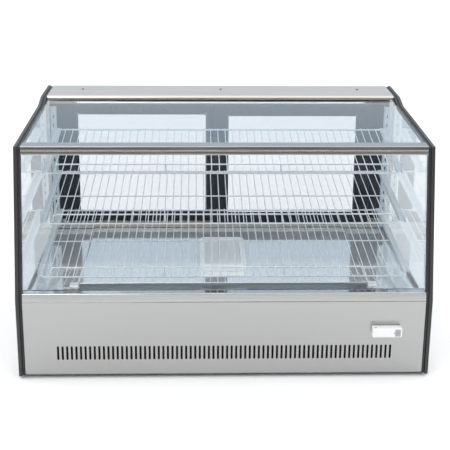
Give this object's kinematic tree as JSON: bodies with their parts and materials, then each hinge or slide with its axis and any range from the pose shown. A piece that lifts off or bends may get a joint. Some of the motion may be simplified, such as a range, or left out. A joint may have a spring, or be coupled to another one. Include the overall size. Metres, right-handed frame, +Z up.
{
  "type": "bakery display case",
  "caption": "Refrigerated countertop bakery display case: glazed box with leaning front, wire shelves on brackets, rear sliding doors, slotted steel base and a small controller.",
  "frame": {"origin": "on the resting surface, at the middle of the case's width and depth", "axes": "+X to the right seen from the front, +Y to the rear, +Z up"},
  "size_m": [1.2, 0.785, 0.731],
  "materials": {
    "brushed_steel": "satin brushed along its length",
    "polished_steel": "mirror polished sheet",
    "aluminium": "satin anodised",
    "galvanised": "dull galvanised sheet",
    "trim_grey": "dark grey moulded trim",
    "black_rubber": "matt black rubber",
    "door_black": "satin black, slightly blue",
    "white_coat": "white powder coat",
    "light_grey": "light grey powder coat",
    "clear_glass": "clear tempered glass",
    "door_glass": "clear double glazing",
    "led_white": "white diffuser over light-emitting diodes",
    "white_plastic": "white moulded plastic",
    "liner_white": "white moulded liner",
    "copper_fins": "aluminium fins on copper tube",
    "black_plastic": "black moulded plastic"
  },
  "bodies": {
    "case": {"base_tray": "galvanised", "compressor": "black_plastic", "condenser_coil": "copper_fins", "condenser_fan_shroud": "black_plastic", "controller_housing": "white_plastic", "cord_gland": "black_plastic", "deck_panel": "polished_steel", "door_frame": "door_black", "evaporator_coil": "copper_fins", "front_glass": "clear_glass", "front_panel": "brushed_steel", "front_sill": "polished_steel", "front_top_rail": "aluminium", "insulated_tub": "liner_white", "lamp_housing": "aluminium", "led_strip": "led_white", "left_bracket_1": "white_coat", "left_bracket_2": "white_coat", "left_bracket_3": "white_coat", "left_edge_seal": "black_rubber", "left_edge_trim": "trim_grey", "left_front_foot": "black_rubber", "left_rear_foot": "black_rubber", "left_side_glass": "clear_glass", "left_side_panel": "galvanised", "left_upright": "light_grey", "lower_door_track": "aluminium", "rear_panel": "galvanised", "right_bracket_1": "white_coat", "right_bracket_2": "white_coat", "right_bracket_3": "white_coat", "right_edge_seal": "black_rubber", "right_edge_trim": "trim_grey", "right_front_foot": "black_rubber", "right_rear_foot": "black_rubber", "right_side_glass": "clear_glass", "right_side_panel": "galvanised", "right_upright": "light_grey", "shelf_guard_1": "white_coat", "shelf_guard_2": "white_coat", "shelf_guard_3": "white_coat", "top_glass": "clear_glass", "top_panel": "brushed_steel", "top_screw_1": "polished_steel", "top_screw_2": "polished_steel", "top_screw_3": "polished_steel", "upper_door_track": "door_black", "wire_shelf_1": "white_coat", "wire_shelf_2": "white_coat", "wire_shelf_3": "white_coat"},
    "left_door": {"left_door_sash": "door_black", "left_door_glass": "door_glass"},
    "right_door": {"right_door_sash": "door_black", "right_door_glass": "door_glass"},
    "condenser_fan": {"condenser_fan_rotor": "black_plastic"},
    "evaporator_fan": {"evaporator_fan_rotor": "black_plastic"},
    "up_button": {"button_up": "light_grey"},
    "down_button": {"button_down": "light_grey"},
    "switch_rocker": {"light_switch": "black_plastic"},
    "water_tray": {"humidity_tray": "white_plastic"}
  },
  "joints": [
    {"name": "left_door_slide", "type": "slide", "parent": "case", "child": "left_door", "axis": [1, 0, 0], "range_m": [0, 0.5]},
    {"name": "right_door_slide", "type": "slide", "parent": "case", "child": "right_door", "axis": [1, 0, 0], "range_m": [-0.5, 0.022]},
    {"name": "condenser_fan_spin", "type": "hinge", "parent": "case", "child": "condenser_fan", "pos_m": [0.3, -0.262, 0.085], "axis": [0, 1, 0], "continuous": true},
    {"name": "evaporator_fan_spin", "type": "hinge", "parent": "case", "child": "evaporator_fan", "pos_m": [0.36, -0.02, 0.196], "axis": [0, 0, 1], "continuous": true},
    {"name": "button_up_press", "type": "slide", "parent": "case", "child": "up_button", "axis": [0, 1, 0], "range_m": [0, 0.0015], "stiffness_N_per_m": 400},
    {"name": "button_down_press", "type": "slide", "parent": "case", "child": "down_button", "axis": [0, 1, 0], "range_m": [0, 0.0015], "stiffness_N_per_m": 400},
    {"name": "light_switch_rock", "type": "hinge", "parent": "case", "child": "switch_rocker", "pos_m": [-0.45, 0.3785, 0.16], "axis": [1, 0, 0], "range_deg": [-8, 8]},
    {"name": "tray_lift", "type": "slide", "parent": "case", "child": "water_tray", "axis": [0, 0, 1], "range_m": [0, 0.02]}
  ]
}
